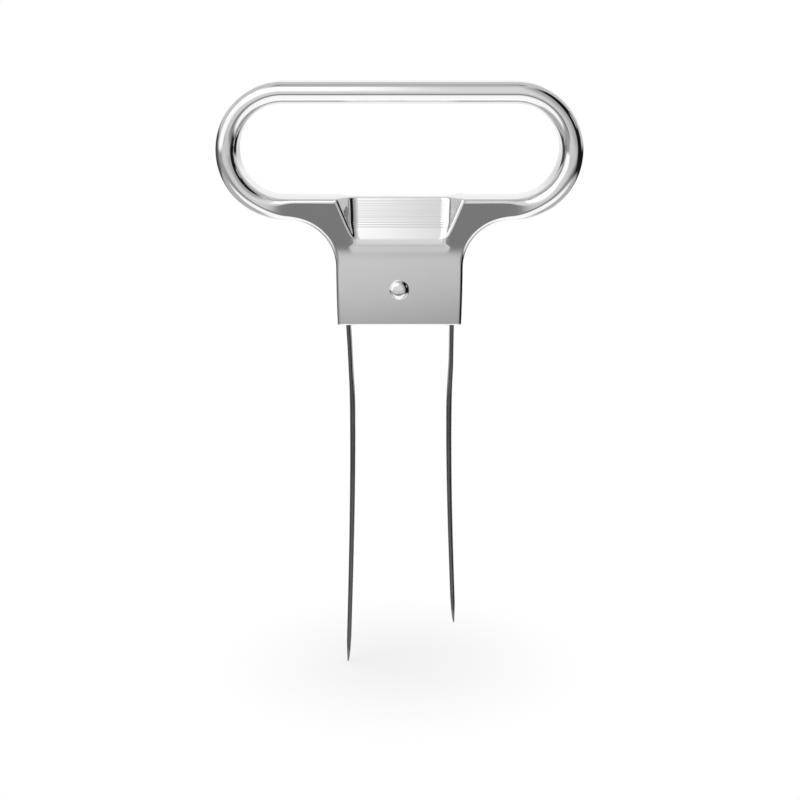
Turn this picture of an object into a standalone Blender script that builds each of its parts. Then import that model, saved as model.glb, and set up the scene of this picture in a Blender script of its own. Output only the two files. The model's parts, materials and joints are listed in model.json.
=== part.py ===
"""Two-prong cork puller: a handle of two pressed steel half shells, a rivet with its sleeve, and a
spring steel prong strip that rocks on the sleeve.

X runs across the handle, Y from its front to its rear and Z up. Plan positions are (x, z) counted
from the rivet's axis, and a depth is counted from the handle's middle plane towards a face.
"""
import math

import bpy
from mathutils import Matrix, Vector

MM = 0.001

# Handle loop
LOOP_SPAN = 66.4 * MM
LOOP_HEIGHT = 24.6 * MM
LOOP_DEPTH = 9.9 * MM
LOOP_RISE = 25.1 * MM
BEAD_WIDTH = 3.8 * MM

# Sheet steel of the half shells
SHEET = 0.8 * MM
SEAM = 0.3 * MM
PLATE_EDGE = 0.55 * MM
INNER_EDGE = 0.15 * MM

# Neck and wings
NECK_WIDTH = 23.2 * MM
MOUTH_TAPER = 0.4 * MM
NECK_DEPTH = 8.5 * MM
NECK_DROP = 6.4 * MM
WING_FILLET = 8.8 * MM
BEAD_END = 24.8 * MM
PLATE_START = 16.0 * MM

# Bends of the sheet on its way up from the neck: height, and lean back from upright
WING_BENDS = (
    (6.85 * MM, 0.0),
    (7.75 * MM, math.radians(-4.0)),
    (16.6 * MM, math.radians(-4.0)),
)
REST_BENDS = (
    (6.85 * MM, 0.0),
    (7.75 * MM, math.radians(2.0)),
    (9.3 * MM, math.radians(15.0)),
    (9.9 * MM, math.radians(26.0)),
    (11.4 * MM, math.radians(26.0)),
    (16.6 * MM, math.radians(16.0)),
)

# Thumb rest between the wings, its cut edges and the flat facets beside it; an aside is a place's
# distance from the line of the neck's side
CUT_TOP_ASIDE = 0.13 * MM
CUT_FOOT_ASIDE = 2.95 * MM
CUT_FOOT_RISE = 9.75 * MM
FOLD_RISE = 6.85 * MM
FOLD_ASIDE = 2.3 * MM
CUT_MARGIN = 0.34 * MM
CUT_RADIUS = 0.59 * MM
FACET_LEAN = math.radians(55.0)
LEAST_FACET = 0.1 * MM
SIDE_RADIUS = 1.5 * MM
FOLD_SIDE_RADIUS = 8.0 * MM
SIDE_FADE = 0.8 * MM
LEAST_SIDE_LEAN = math.radians(6.0)
LIP_EDGE = 0.2 * MM

# Grooves of the thumb rest
GROOVE_COUNT = 13
GROOVE_PITCH = 0.41 * MM
GROOVE_RADIUS = 0.13 * MM
GROOVE_END_GAP = 0.95 * MM
GROOVE_TOP_GAP = 0.15 * MM

# Rivet and sleeve
RIVET_RADIUS = 1.2 * MM
HEAD_RADIUS = 1.8 * MM
HEAD_HEIGHT = 1.0 * MM
SEAT_GAP = 0.3 * MM
SLEEVE_WALL = 0.8 * MM

# Prong strip
STRIP = 0.8 * MM
STRIP_WIDTH = 6.2 * MM
SADDLE_FILLET = 1.0 * MM
SHOULDER_RADIUS = 2.2 * MM
WALL_GAP = 0.6 * MM
WAIST_PINCH = 0.4 * MM
TIP_SPREAD = 0.8 * MM
WAIST_DROP = 19.0 * MM
LONG_PRONG = 68.7 * MM
SHORT_PRONG = 60.5 * MM
CORK_RADIUS = 9.4 * MM
TIP_WIDTH = 4.6 * MM
TIP_LENGTH = 3.4 * MM
TIP_EDGE = 0.25 * MM
TIP_BEVEL = 4.2 * MM
ARCH_RUN = 5.0 * MM

# Shares of the tip's length, from its shoulder to its point, where its round end is sampled
TIP_STEP_SHARES = (0.2, 0.45, 0.7, 0.9, 1)
TIP_FULL_SHARE = 0.985
ACROSS_SHARES = (-1, -0.5, 0, 0.5, 1)

# Facets
ARC_STEPS = 14
TOP_STEPS = 2
WING_STEPS = 5
NECK_STEPS = 3
REST_MIDDLE_STEPS = 4
CORNER_STEPS = 2
SIDE_STEPS = 3
EDGE_STEPS = 3
CUT_STEPS = 4
FOOT_STEPS = 4
ROUND_FACETS = 24
DOME_STEPS = 5
SADDLE_STEPS = 5
FOOT_FILLET_STEPS = 3
SHOULDER_STEPS = 4

# Places closer than this are one point
SAME_PLACE = 0.0003 * MM

# Worked out from the sizes above
MOUTH_WIDTH = NECK_WIDTH - MOUTH_TAPER
CUT_TOP_WIDTH = NECK_WIDTH - 2 * CUT_TOP_ASIDE
CUT_FOOT_WIDTH = NECK_WIDTH - 2 * CUT_FOOT_ASIDE
FOLD_WIDTH = NECK_WIDTH - 2 * FOLD_ASIDE
GROOVE_LENGTH = CUT_FOOT_WIDTH - 2 * GROOVE_END_GAP
MOUTH_REACH = MOUTH_WIDTH / 2 - SHEET - WALL_GAP - STRIP / 2
WAIST_REACH = MOUTH_REACH - WAIST_PINCH
TIP_REACH = MOUTH_REACH + TIP_SPREAD
END_RADIUS = LOOP_HEIGHT / 2
HOLE_RADIUS = END_RADIUS - BEAD_WIDTH
HALF_STRAIGHT = LOOP_SPAN / 2 - END_RADIUS
LOOP_BOTTOM = LOOP_RISE - END_RADIUS
REST_TOP = LOOP_RISE - HOLE_RADIUS
FILLET_X = NECK_WIDTH / 2 + WING_FILLET
FILLET_Z = LOOP_BOTTOM - WING_FILLET
SLEEVE_BORE = RIVET_RADIUS + SEAT_GAP
SLEEVE_RADIUS = SLEEVE_BORE + SLEEVE_WALL
LOWEST = NECK_DROP + LONG_PRONG
RIVET_Z = (LOWEST - LOOP_RISE - END_RADIUS) / 2


def clear_scene():
    for thing in list(bpy.data.objects):
        bpy.data.objects.remove(thing, do_unlink=True)


def mix(a, b, share):
    return a + (b - a) * share


def smooth(share):
    share = min(max(share, 0.0), 1.0)
    return share * share * (3 - 2 * share)


def steel(name, shade, roughness):
    material = bpy.data.materials.new(name)
    material.use_nodes = True
    shader = material.node_tree.nodes["Principled BSDF"]
    shader.inputs["Base Color"].default_value = (shade, shade, shade, 1)
    shader.inputs["Metallic"].default_value = 1
    shader.inputs["Roughness"].default_value = roughness
    material.diffuse_color = (shade, shade, shade, 1)
    return material


def add_object(name, vertices, faces, material, parent, sharp_degrees=30):
    mesh = bpy.data.meshes.new(name)
    mesh.from_pydata(vertices, [], faces)
    mesh.materials.append(material)
    mesh.shade_smooth()
    mesh.set_sharp_from_angle(angle=math.radians(sharp_degrees))
    thing = bpy.data.objects.new(name, mesh)
    bpy.context.collection.objects.link(thing)
    thing.parent = parent
    return thing


def cutter(name, vertices, faces, parent):
    mesh = bpy.data.meshes.new(name)
    mesh.from_pydata(vertices, [], faces)
    thing = bpy.data.objects.new(name, mesh)
    bpy.context.collection.objects.link(thing)
    thing.parent = parent
    thing.hide_render = True
    thing.display_type = "WIRE"
    return thing


def cut(thing, tool):
    modifier = thing.modifiers.new(tool.name, "BOOLEAN")
    modifier.operation = "DIFFERENCE"
    modifier.object = tool


# Outline of the handle, seen from the front


def neck_half(z):
    """Half the neck's width, from its mouth up to where the wing's fillet starts."""
    share = min(max((z + NECK_DROP) / (FILLET_Z + NECK_DROP), 0.0), 1.0)
    return mix(NECK_WIDTH, MOUTH_WIDTH, (1 - share) ** 2) / 2


def loop_reach(x, z):
    """Distance from the loop's spine line to a plan position."""
    return math.hypot(max(abs(x) - HALF_STRAIGHT, 0.0), z - LOOP_RISE)


def edge_distance(x, z, inset):
    """Distance to the nearest edge of the outline, drawn in by inset."""
    to_hole = loop_reach(x, z) - HOLE_RADIUS - inset
    if z > LOOP_RISE or abs(x) > HALF_STRAIGHT:
        to_outline = END_RADIUS - inset - loop_reach(x, z)
    elif abs(x) >= FILLET_X:
        to_outline = z - LOOP_BOTTOM - inset
    elif z <= FILLET_Z:
        to_outline = neck_half(z) - inset - abs(x)
    else:
        to_outline = math.hypot(FILLET_X - abs(x), z - FILLET_Z) - WING_FILLET - inset
    return max(min(to_hole, to_outline), 0.0)


# Depth of the handle's face


def flatness(x, z):
    """0 where the loop is a round bead and 1 where it has become a flat plate."""
    if z > LOOP_RISE:
        return 0.0
    return smooth((BEAD_END - abs(x)) / (BEAD_END - PLATE_START))


def bent_sheet(z, bends):
    """Depth and lean, at this height, of the neck's plane carried on upwards through these bends."""
    depth = NECK_DEPTH / 2
    lean = 0.0
    for (low, first), (high, last) in zip(bends, bends[1:]):
        if z <= low:
            break
        lean = math.asin(mix(math.sin(first), math.sin(last), min((z - low) / (high - low), 1.0)))
        if first == last:
            depth -= (min(z, high) - low) * math.tan(lean)
        else:
            radius = (high - low) / (math.sin(last) - math.sin(first))
            depth -= radius * (math.cos(first) - math.cos(lean))
    return depth - max(z - bends[-1][0], 0.0) * math.tan(lean), lean


def plate_depth(z):
    """Depth of the neck's plane and, above the crease, of the wings that flare out of it."""
    return bent_sheet(z, WING_BENDS)[0]


def rest_depth(z):
    """Depth of the thumb rest's floor."""
    return bent_sheet(z, REST_BENDS)[0]


def edge_radius(x, z, inset):
    plate = PLATE_EDGE if inset == 0 else INNER_EDGE
    return mix(BEAD_WIDTH / 2 - inset, plate, flatness(x, z))


def edge_drop(distance, radius):
    """How far the face falls away over an edge of this radius."""
    reach = min(distance / radius, 1.0)
    return radius * (1 - math.sqrt(1 - (1 - reach) ** 2))


def face_depth(x, z, inset):
    crown = mix(LOOP_DEPTH / 2, plate_depth(z), flatness(x, z)) - inset
    return crown - edge_drop(edge_distance(x, z, inset), edge_radius(x, z, inset))


# Lines of plan positions that the face is built on, from the hole's edge to the outer edge


def edge_steps(radius):
    """Distances from an edge at which its rounding is sampled."""
    return [radius * (1 - math.cos(math.pi / 2 * i / EDGE_STEPS)) for i in range(EDGE_STEPS + 1)]


def between(start, end, steps):
    return [start.lerp(end, i / steps) for i in range(1, steps)]


def cut_half(z):
    """Half the distance between the two cut edges, and below them between the fold's ends."""
    if z >= CUT_FOOT_RISE:
        share = (z - CUT_FOOT_RISE) / (REST_TOP - CUT_FOOT_RISE)
        return mix(CUT_FOOT_WIDTH, CUT_TOP_WIDTH, share) / 2
    share = (CUT_FOOT_RISE - z) / (CUT_FOOT_RISE - FOLD_RISE)
    return mix(CUT_FOOT_WIDTH, FOLD_WIDTH, share) / 2


def fold_line(inset):
    """The last line of the left wing: down its cut edge to the thumb rest's foot, then to the neck."""
    edges = edge_steps(PLATE_EDGE if inset == 0 else INNER_EDGE)
    shift = inset / 2 + CUT_MARGIN
    top = Vector((-cut_half(REST_TOP - inset) - shift, REST_TOP - inset))
    cut_foot = Vector((-cut_half(CUT_FOOT_RISE) - shift, CUT_FOOT_RISE))
    fold = Vector((-cut_half(FOLD_RISE) - shift, FOLD_RISE))
    foot = Vector((inset - NECK_WIDTH / 2, FILLET_Z))
    down_cut = (cut_foot - top) / (top.y - cut_foot.y)
    points = [top + down_cut * distance for distance in edges]
    points += between(points[-1], cut_foot, CUT_STEPS) + [cut_foot]
    points += between(cut_foot, fold, FOOT_STEPS) + [fold]
    to_side = (foot - fold) / (fold.x - foot.x)
    return points + [foot - to_side * distance for distance in reversed(edges)]


def line_shares(points):
    lengths = [(b - a).length for a, b in zip(points, points[1:])]
    total = sum(lengths)
    return [sum(lengths[:i]) / total for i in range(len(points))]


def spoke(start, end, inset, last, bend_share):
    """A line from the hole's edge to the outer edge, spaced for a bead or a plate as it is there."""
    steps = len(last) - 1
    radius = edge_radius(start.x, start.y, inset)
    flat = flatness(start.x, start.y)
    edges = [distance / (end - start).length for distance in edge_steps(radius)]
    shares = line_shares(last)
    low, high = shares[EDGE_STEPS], shares[steps - EDGE_STEPS]
    points = []
    for i in range(steps + 1):
        round_share = (1 - math.cos(math.pi * i / steps)) / 2
        if i <= EDGE_STEPS:
            plate_share = edges[i]
        elif i >= steps - EDGE_STEPS:
            plate_share = 1 - edges[steps - i]
        else:
            middle = (shares[i] - low) / (high - low)
            plate_share = mix(edges[-1], 1 - edges[-1], middle)
        share = mix(round_share, plate_share, flat)
        bend = last[i] - last[0].lerp(last[-1], shares[i])
        points.append(start.lerp(end, share) + bend * bend_share)
    return points


def wing_foot(share, inset):
    """A point on the wing's lower outline, from the loop to the neck's side."""
    radius = WING_FILLET + inset
    straight = HALF_STRAIGHT - FILLET_X
    along = share * (straight + radius * math.pi / 2)
    if along <= straight:
        return Vector((along - HALF_STRAIGHT, LOOP_BOTTOM + inset))
    angle = (along - straight) / radius
    return Vector((radius * math.sin(angle) - FILLET_X, FILLET_Z + radius * math.cos(angle)))


def wing_lines(inset):
    """Lines of the left wing, from the loop to the fold line."""
    last = fold_line(inset)
    lines = []
    for i in range(1, WING_STEPS):
        share = i / WING_STEPS
        start = Vector((mix(-HALF_STRAIGHT, last[0].x, share), REST_TOP - inset))
        lines.append(spoke(start, wing_foot(share, inset), inset, last, share ** 2))
    return lines + [last]


def end_lines(inset):
    """Lines round the loop's left end, from its foot to its top."""
    last = fold_line(inset)
    centre = Vector((-HALF_STRAIGHT, LOOP_RISE))
    lines = []
    for i in range(ARC_STEPS + 1):
        angle = math.pi * i / ARC_STEPS
        outwards = Vector((-math.sin(angle), -math.cos(angle)))
        start = centre + outwards * (HOLE_RADIUS + inset)
        lines.append(spoke(start, centre + outwards * (END_RADIUS - inset), inset, last, 0))
    return lines


def mirrored(lines):
    return [[Vector((-p.x, p.y)) for p in line] for line in reversed(lines)]


def loop_lines(inset):
    """All lines from the left fold line, over the loop, to the right fold line."""
    left = list(reversed(wing_lines(inset))) + end_lines(inset)
    right = mirrored(left)
    top = [
        [a.lerp(b, i / TOP_STEPS) for a, b in zip(left[-1], right[0])]
        for i in range(1, TOP_STEPS)
    ]
    return left + top + right


def side_line(z, inset):
    """The left side of one level line, from the wing to the hollow's floor: (x, depth) points round
    the cut edge, along the facet and round into the floor."""
    rest, rest_lean = bent_sheet(z, REST_BENDS)
    rest -= inset / math.cos(rest_lean)
    wing = plate_depth(z) - inset
    above_fade = smooth((z - CUT_FOOT_RISE + SIDE_FADE) / SIDE_FADE)
    cut_radius = max(CUT_RADIUS - inset, INNER_EDGE)
    side_radius = mix(FOLD_SIDE_RADIUS, SIDE_RADIUS, above_fade) + inset
    bends = cut_radius + side_radius
    lean = math.acos(max(1 - (wing - rest) / bends, math.cos(FACET_LEAN)))
    lean = max(lean, LEAST_SIDE_LEAN)
    facet = max((wing - rest - bends * (1 - math.cos(lean))) / math.tan(lean), LEAST_FACET)
    x = -cut_half(z) - (inset + cut_radius) * math.tan(lean / 2)
    drop = 0.0
    points = [(x, drop)]
    for i in range(1, CORNER_STEPS + 1):
        turn = lean * i / CORNER_STEPS
        points.append((x + cut_radius * math.sin(turn), cut_radius * (1 - math.cos(turn))))
    x = points[-1][0] + facet
    drop = points[-1][1] + facet * math.tan(lean)
    for i in range(SIDE_STEPS + 1):
        turn = lean * (1 - i / SIDE_STEPS)
        across = side_radius * (math.sin(lean) - math.sin(turn))
        down = side_radius * (math.cos(turn) - math.cos(lean))
        points.append((x + across, drop + down))
    scale = (wing - rest) / points[-1][1]
    return [(x, wing - drop * scale) for x, drop in points]


def rest_row(corner, inset):
    """One level line across the thumb rest, between the two fold lines: (x, z, depth) points."""
    z = corner.y
    points = side_line(z, inset)
    points[0] = (corner.x, points[0][1])
    start, floor = points[-1]
    middle = [(mix(start, -start, i / REST_MIDDLE_STEPS), floor) for i in range(1, REST_MIDDLE_STEPS)]
    row = points + middle + [(-x, depth) for x, depth in reversed(points)]
    lip = LIP_EDGE if inset == 0 else INNER_EDGE
    plate = PLATE_EDGE if inset == 0 else INNER_EDGE
    below_hole = max(REST_TOP - inset - z, 0.0)
    falls = [edge_drop(below_hole, plate)] + [edge_drop(below_hole, lip)] * (len(row) - 2)
    return [(x, z, depth - fall) for (x, depth), fall in zip(row, falls + falls[:1])]


def neck_row(top_row, sides, share, inset):
    """One line across the neck, share of the way from its top line down to its mouth."""
    row = []
    for i, (x, z, _) in enumerate(top_row):
        level = mix(z, -NECK_DROP, share)
        from_side = min(i, len(top_row) - 1 - i)
        if from_side < len(sides):
            x = math.copysign(neck_half(level) - inset - sides[from_side], x)
        row.append((x, level, face_depth(x, level, inset)))
    return row


def face_blocks(inset):
    """The half shell's face as blocks of rows of (x, z, depth): loop with wings, thumb rest, neck."""
    fold = fold_line(inset)
    fold_index = len(fold) - 1 - EDGE_STEPS - 1
    loop = [[(p.x, p.y, face_depth(p.x, p.y, inset)) for p in line] for line in loop_lines(inset)]
    rest = [rest_row(fold[i], inset) for i in range(fold_index + 1)]
    left_foot = list(reversed(loop[0][fold_index + 1 :]))
    right_foot = loop[-1][fold_index + 1 :]
    top_row = left_foot + rest[-1] + right_foot
    sides = edge_steps(PLATE_EDGE if inset == 0 else INNER_EDGE)
    neck = [top_row] + [
        neck_row(top_row, sides, i / NECK_STEPS, inset) for i in range(1, NECK_STEPS + 1)
    ]
    for i, row in enumerate(rest):
        loop[0][i], loop[-1][i] = row[0], row[-1]
    return [loop, rest, neck]


# Half shell


class Skin:
    """A sheet's one side: points shared where blocks meet, and faces over them."""

    def __init__(self):
        self.points = []
        self.index = {}
        self.faces = []

    def point(self, key, place):
        if key not in self.index:
            self.index[key] = len(self.points)
            self.points.append(place)
        return self.index[key]

    def add_block(self, keys, rows):
        grid = [
            [self.point(key, place) for key, place in zip(key_row, row)]
            for key_row, row in zip(keys, rows)
        ]
        for upper, lower in zip(grid, grid[1:]):
            for a, b, c, d in zip(upper, upper[1:], lower[1:], lower):
                self.faces.append((a, b, c, d))

    def open_edges(self):
        edges = {}
        for face in self.faces:
            for a, b in zip(face, face[1:] + face[:1]):
                edges[(a, b)] = True
        return [(a, b) for a, b in edges if (b, a) not in edges]

    def add_walls(self, mouth_z):
        """Walls from every edge but the mouth's down to the seam."""
        feet = {}
        for a, b in self.open_edges():
            if all(abs(self.points[i][1] - mouth_z) < SAME_PLACE for i in (a, b)):
                continue
            for i in (a, b):
                if i not in feet:
                    x, z, _ = self.points[i]
                    feet[i] = len(self.points)
                    self.points.append((x, z, SEAM / 2))
            self.faces.append((b, a, feet[a], feet[b]))


def rounded_key(place):
    return tuple(round(value / SAME_PLACE) for value in place[:2])


def shell_skin(inset):
    outer = face_blocks(0)
    skin = Skin()
    for keys, rows in zip(outer, face_blocks(inset)):
        skin.add_block([[rounded_key(place) for place in row] for row in keys], rows)
    skin.add_walls(-NECK_DROP)
    return skin


def half_shell(name, side, material, parent):
    """A half shell; side is -1 for the front and 1 for the rear."""
    outer, inner = shell_skin(0), shell_skin(SHEET)
    count = len(outer.points)
    vertices = [(x, side * depth, z) for x, z, depth in outer.points + inner.points]
    faces = list(outer.faces)
    faces += [tuple(i + count for i in reversed(face)) for face in inner.faces]
    faces += [(b, a, a + count, b + count) for a, b in outer.open_edges()]
    if side > 0:
        faces = [tuple(reversed(face)) for face in faces]
    return add_object(name, vertices, faces, material, parent, 25)


def prism(profile, low, high):
    """A closed prism along X over (y, z) points that go round anticlockwise."""
    count = len(profile)
    vertices = [(low, y, z) for y, z in profile] + [(high, y, z) for y, z in profile]
    faces = [tuple(reversed(range(count))), tuple(range(count, 2 * count))]
    for i in range(count):
        j = (i + 1) % count
        faces.append((i, j, j + count, i + count))
    return vertices, faces


def circle(radius, facets, turn=0.0):
    angles = [turn + 2 * math.pi * i / facets for i in range(facets)]
    return [(radius * math.cos(a), radius * math.sin(a)) for a in angles]


def groove_cutter(name, side, parent):
    """A comb of thin bars that lie in the thumb rest's face."""
    vertices, faces = [], []
    for i in range(GROOVE_COUNT):
        z = REST_TOP - GROOVE_TOP_GAP - GROOVE_PITCH * (i + 1 / 2)
        bar = [
            (side * rest_depth(z) + y, z + rise) for y, rise in circle(GROOVE_RADIUS, 4, math.pi / 4)
        ]
        more_vertices, more_faces = prism(bar, -GROOVE_LENGTH / 2, GROOVE_LENGTH / 2)
        faces += [tuple(j + len(vertices) for j in face) for face in more_faces]
        vertices += more_vertices
    return cutter(name, vertices, faces, parent)


def rivet_hole_cutter(parent):
    profile = circle(RIVET_RADIUS + SEAT_GAP, ROUND_FACETS)
    vertices, faces = prism(profile, -NECK_DEPTH, NECK_DEPTH)
    vertices = [(y, x, z) for x, y, z in vertices]
    faces = [tuple(reversed(face)) for face in faces]
    return cutter("rivet_hole", vertices, faces, parent)


# Rivet and sleeve


def turned(profile, facets):
    """Vertices and faces of a (radius, y) profile turned about the rivet's axis, from pole to pole."""
    start, rings, end = profile[0], profile[1:-1], profile[-1]
    vertices = [(0, start[1], 0)]
    for radius, y in rings:
        vertices += [(a, y, b) for a, b in circle(radius, facets)]
    vertices.append((0, end[1], 0))
    faces = []
    for i in range(facets):
        j = (i + 1) % facets
        faces.append((0, 1 + i, 1 + j))
        for ring in range(len(rings) - 1):
            a, b = 1 + ring * facets, 1 + (ring + 1) * facets
            faces.append((a + i, b + i, b + j, a + j))
        a = 1 + (len(rings) - 1) * facets
        faces.append((a + i, len(vertices) - 1, a + j))
    return vertices, faces


def rivet(material, parent):
    """A round shank through both half shells, with a domed head on each face."""
    seat = NECK_DEPTH / 2 + SEAT_GAP
    dome = []
    for i in range(DOME_STEPS + 1):
        angle = math.pi / 2 * i / DOME_STEPS
        dome.append((HEAD_RADIUS * math.sin(angle), seat + HEAD_HEIGHT * math.cos(angle)))
    half = dome + [(RIVET_RADIUS, seat)]
    profile = [(radius, -y) for radius, y in half] + list(reversed(half))
    vertices, faces = turned(profile, ROUND_FACETS)
    return add_object("rivet", vertices, faces, material, parent)


def sleeve(material, parent):
    """A tube on the rivet's shank that keeps the half shells apart and carries the prong strip."""
    half = NECK_DEPTH / 2 - SHEET - SEAT_GAP
    vertices = []
    for radius in (SLEEVE_RADIUS, SLEEVE_BORE):
        for y in (-half, half):
            vertices += [(a, y, b) for a, b in circle(radius, ROUND_FACETS)]
    faces = []
    for i in range(ROUND_FACETS):
        j = (i + 1) % ROUND_FACETS
        outer_front, outer_rear, inner_front, inner_rear = (k * ROUND_FACETS for k in range(4))
        faces.append((outer_front + i, outer_rear + i, outer_rear + j, outer_front + j))
        faces.append((inner_front + j, inner_rear + j, inner_rear + i, inner_front + i))
        faces.append((outer_front + j, inner_front + j, inner_front + i, outer_front + i))
        faces.append((outer_rear + i, inner_rear + i, inner_rear + j, outer_rear + j))
    return add_object("pivot_sleeve", vertices, faces, material, parent)


# Prong strip


def arc_points(centre, radius, start_degrees, end_degrees, steps):
    points = []
    for i in range(steps + 1):
        angle = math.radians(mix(start_degrees, end_degrees, i / steps))
        points.append(centre + Vector((math.cos(angle), math.sin(angle))) * radius)
    return points


def prong_reach(drop, length):
    """Distance of a prong's middle line from the rivet's axis, at this drop below the axis."""
    if drop <= WAIST_DROP:
        share = (drop - NECK_DROP) / (WAIST_DROP - NECK_DROP)
        return mix(MOUTH_REACH, WAIST_REACH, smooth(max(share, 0.0)))
    share = (drop - WAIST_DROP) / (NECK_DROP + length - WAIST_DROP)
    return mix(WAIST_REACH, TIP_REACH, smooth(share / 2) * 2)


def prong_stations(length):
    """Stations down the right prong: (x, z, half width, thickness, arch height)."""
    tip = NECK_DROP + length
    drops = [SHOULDER_RADIUS, NECK_DROP]
    drops += [mix(NECK_DROP, WAIST_DROP, share) for share in (1 / 3, 2 / 3, 1)]
    arched = WAIST_DROP + ARCH_RUN
    drops += [mix(WAIST_DROP, arched, share) for share in (1 / 2, 1)]
    taper = tip - TIP_BEVEL
    drops += [mix(arched, taper, share) for share in (1 / 4, 1 / 2, 3 / 4, 1)]
    drops += [tip - TIP_LENGTH * (1 - share) for share in TIP_STEP_SHARES]
    stations = []
    for drop in drops:
        width = mix(STRIP_WIDTH, TIP_WIDTH, smooth((drop - WAIST_DROP) / (tip - WAIST_DROP)))
        end = (drop - tip + TIP_LENGTH) / TIP_LENGTH
        if end > 0:
            width *= math.sqrt(1 - (end * TIP_FULL_SHARE) ** 2)
        bevel = max((drop - taper) / TIP_BEVEL, 0)
        arch = smooth((drop - WAIST_DROP + ARCH_RUN) / (2 * ARCH_RUN))
        sag = CORK_RADIUS - math.sqrt(CORK_RADIUS ** 2 - (width / 2) ** 2)
        stations.append(
            (prong_reach(drop, length), -drop, width / 2, mix(STRIP, TIP_EDGE, bevel), arch * sag)
        )
    return stations


def saddle_line():
    """Middle line of the strip from the saddle's crown to the right shoulder: a hump over the sleeve,
    a fillet, a level shoulder and the bend into the prong."""
    saddle = SLEEVE_RADIUS + SEAT_GAP + STRIP / 2
    fillet = SADDLE_FILLET + STRIP / 2
    level = STRIP / 2
    fillet_z = level + fillet
    turn = math.degrees(math.asin(fillet_z / (saddle + fillet)))
    fillet_x = (saddle + fillet) * math.cos(math.radians(turn))
    bend = SHOULDER_RADIUS - STRIP / 2
    crown = arc_points(Vector((0, 0)), saddle, 90, turn, SADDLE_STEPS)
    foot = arc_points(Vector((fillet_x, fillet_z)), fillet, 180 + turn, 270, FOOT_FILLET_STEPS)
    reach = prong_reach(SHOULDER_RADIUS, LONG_PRONG)
    shoulder = arc_points(Vector((reach - bend, level - bend)), bend, 90, 0, SHOULDER_STEPS)
    return crown + foot[1:] + shoulder


def prong_strip(material, parent):
    """One strip of spring steel, folded over the sleeve, with a long left and a short right prong."""
    saddle = [(p.x, p.y, STRIP_WIDTH / 2, STRIP, 0.0) for p in saddle_line()]
    right = saddle + prong_stations(SHORT_PRONG)
    left = [(-x, *rest) for x, *rest in saddle[1:] + prong_stations(LONG_PRONG)]
    stations = list(reversed(left)) + right
    vertices = []
    for i, (x, z, half_width, thickness, arch) in enumerate(stations):
        before, after = stations[max(i - 1, 0)], stations[min(i + 1, len(stations) - 1)]
        along = Vector((after[0] - before[0], after[1] - before[1])).normalized()
        outwards = Vector((-along.y, along.x))
        for outer in (1, -1):
            for share in ACROSS_SHARES if outer > 0 else reversed(ACROSS_SHARES):
                offset = outwards * (outer * thickness / 2 - arch * share ** 2)
                vertices.append((x + offset.x, half_width * share, z + offset.y))
    ring = 2 * len(ACROSS_SHARES)
    faces = [tuple(range(ring)), tuple(reversed(range(len(vertices) - ring, len(vertices))))]
    for i in range(len(stations) - 1):
        for a in range(ring):
            b = (a + 1) % ring
            faces.append((i * ring + b, i * ring + a, (i + 1) * ring + a, (i + 1) * ring + b))
    return add_object("prong_strip", vertices, faces, material, parent)


def main():
    clear_scene()
    pivot = bpy.data.objects.new("rivet_axis", None)
    bpy.context.collection.objects.link(pivot)
    pivot.matrix_world = Matrix.Translation((0, 0, RIVET_Z))
    chrome = steel("polished_steel", 0.8, 0.12)
    hole = rivet_hole_cutter(pivot)
    for name, side in (("handle_front_shell", -1), ("handle_rear_shell", 1)):
        shell = half_shell(name, side, steel(name, 0.8, 0.12), pivot)
        cut(shell, groove_cutter(name + "_grooves", side, pivot))
        cut(shell, hole)
    rivet(chrome, pivot)
    sleeve(steel("plain_steel", 0.55, 0.35), pivot)
    prong_strip(steel("spring_steel", 0.5, 0.22), pivot)


main()
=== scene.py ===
# %% [markdown]
# # A two-prong cork puller in bright steel
#
# The handle of this tool is two pressed sheets of steel, one the mirror of the other, that meet on a
# middle plane. A rivet holds them together at the neck, and a thin strip of spring steel is folded
# over a sleeve on that rivet, so its two prongs can rock. In this lesson we load the engineering
# model as a fixed frame, build every part again as a finer mesh in the same place, give each its
# steel, and light it like a catalogue picture. Bright steel has hardly any colour of its own: it
# shows the room around it, so half of the work is the shape and the other half is the room.

# %% Load the frame
import json
import math

import bpy
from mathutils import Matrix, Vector


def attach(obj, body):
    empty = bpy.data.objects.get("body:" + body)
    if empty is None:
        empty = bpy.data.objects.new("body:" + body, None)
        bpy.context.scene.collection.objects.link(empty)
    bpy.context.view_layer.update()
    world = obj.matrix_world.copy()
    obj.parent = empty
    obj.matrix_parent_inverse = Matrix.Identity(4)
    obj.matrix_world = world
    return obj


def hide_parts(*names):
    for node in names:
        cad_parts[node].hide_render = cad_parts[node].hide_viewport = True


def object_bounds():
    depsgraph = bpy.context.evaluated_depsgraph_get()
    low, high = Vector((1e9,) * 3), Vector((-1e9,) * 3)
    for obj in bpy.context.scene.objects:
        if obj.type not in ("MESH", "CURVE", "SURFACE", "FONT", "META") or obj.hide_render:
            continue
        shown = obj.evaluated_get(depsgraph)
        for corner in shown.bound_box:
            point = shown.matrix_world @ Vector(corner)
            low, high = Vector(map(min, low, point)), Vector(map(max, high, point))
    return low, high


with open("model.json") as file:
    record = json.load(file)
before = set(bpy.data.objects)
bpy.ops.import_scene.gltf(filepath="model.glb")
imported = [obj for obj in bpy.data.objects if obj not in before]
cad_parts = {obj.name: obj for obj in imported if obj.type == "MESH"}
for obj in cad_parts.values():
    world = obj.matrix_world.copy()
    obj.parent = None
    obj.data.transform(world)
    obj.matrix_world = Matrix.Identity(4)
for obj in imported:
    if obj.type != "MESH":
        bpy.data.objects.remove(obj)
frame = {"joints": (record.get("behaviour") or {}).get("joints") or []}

MM = 0.001

cad_low, cad_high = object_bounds()
print("frame box, mm:", [round(v / MM, 2) for v in (*cad_low, *cad_high)])

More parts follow.
